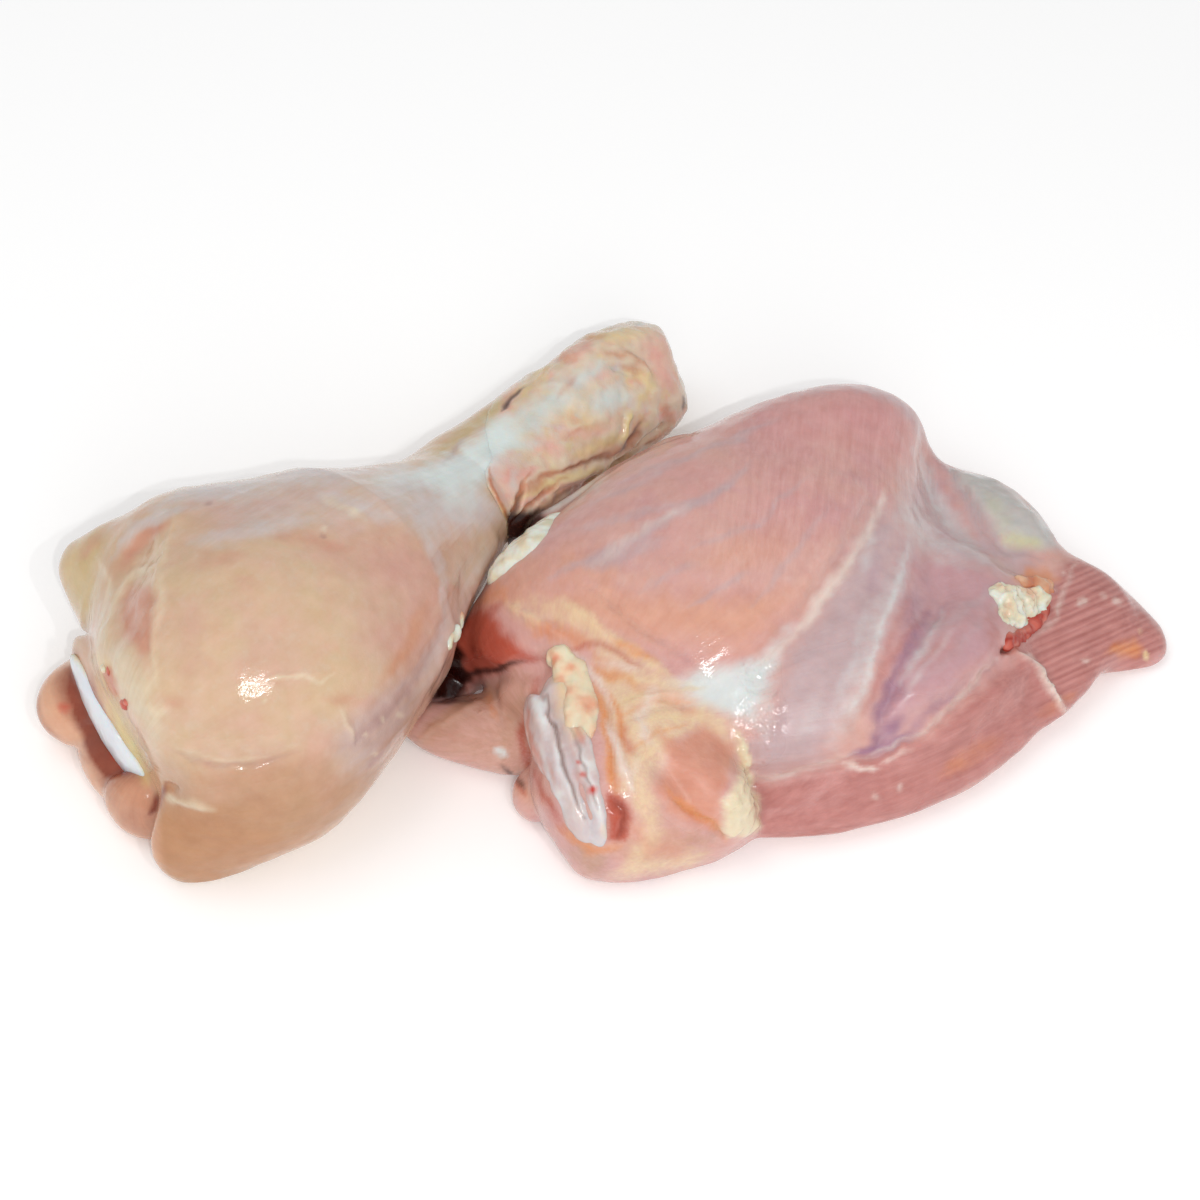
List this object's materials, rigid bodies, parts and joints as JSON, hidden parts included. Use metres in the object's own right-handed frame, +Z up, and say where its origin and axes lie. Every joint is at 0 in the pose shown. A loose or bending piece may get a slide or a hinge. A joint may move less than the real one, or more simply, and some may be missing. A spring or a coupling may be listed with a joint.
{
  "type": "raw skinless chicken leg quarter cut at the knee",
  "caption": "Raw skinless chicken leg quarter cut through at the knee: a drumstick and a thigh lying side by side, with cartilage at the cut ends.",
  "frame": {"origin": "on the surface that the meat lies on, under the middle of both pieces' common box", "axes": "+X from the drumstick's knee end towards the thigh's tip, +Y to the back, +Z up"},
  "size_m": [0.1914, 0.1166, 0.0479],
  "materials": {
    "drumstick_meat": "wet raw poultry muscle under a thin clear membrane, beige pink, glossy",
    "thigh_meat": "wet raw poultry muscle, salmon pink with fine fibres, fat seams and lilac membranes",
    "cartilage": "smooth wet cartilage, bluish white with small blood spots",
    "ankle_skin": "wet skin and sinew, cream yellow with pink and orange stains"
  },
  "bodies": {
    "root": {"drumstick_meat": "drumstick_meat", "drumstick_knee_cartilage": "cartilage", "drumstick_ankle_sleeve": "ankle_skin", "thigh_meat": "thigh_meat", "thigh_bone_end": "cartilage"}
  },
  "joints": []
}
